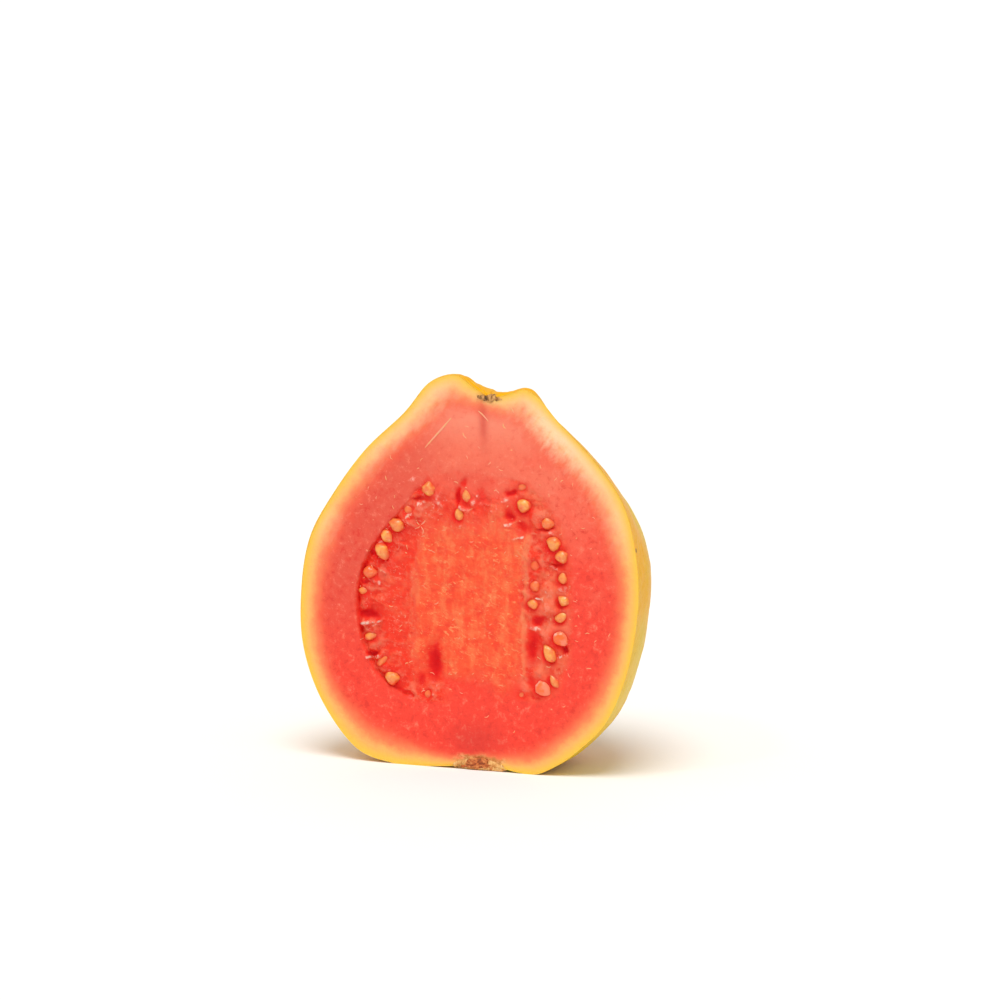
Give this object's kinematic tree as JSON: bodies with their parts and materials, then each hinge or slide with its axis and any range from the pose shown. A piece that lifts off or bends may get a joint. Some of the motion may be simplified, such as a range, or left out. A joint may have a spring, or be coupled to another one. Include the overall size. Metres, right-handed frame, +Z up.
{
  "type": "halved pink guava",
  "caption": "Ripe pink guava cut in half from stem to blossom end, standing upright: pink flesh, seeded pulp and yellow skin.",
  "frame": {"origin": "middle of the base of the object's box, on the surface that the fruit stands on", "axes": "+Z up from the blossom end to the stem end; -Y out of the cut face; +X to the right as the cut face is seen"},
  "size_m": [0.0822, 0.0416, 0.0912],
  "materials": {
    "flesh": "satin",
    "skin": "satin",
    "seed": "satin",
    "dried_tissue": "matte"
  },
  "bodies": {
    "root": {"guava_half": "flesh"}
  },
  "joints": []
}
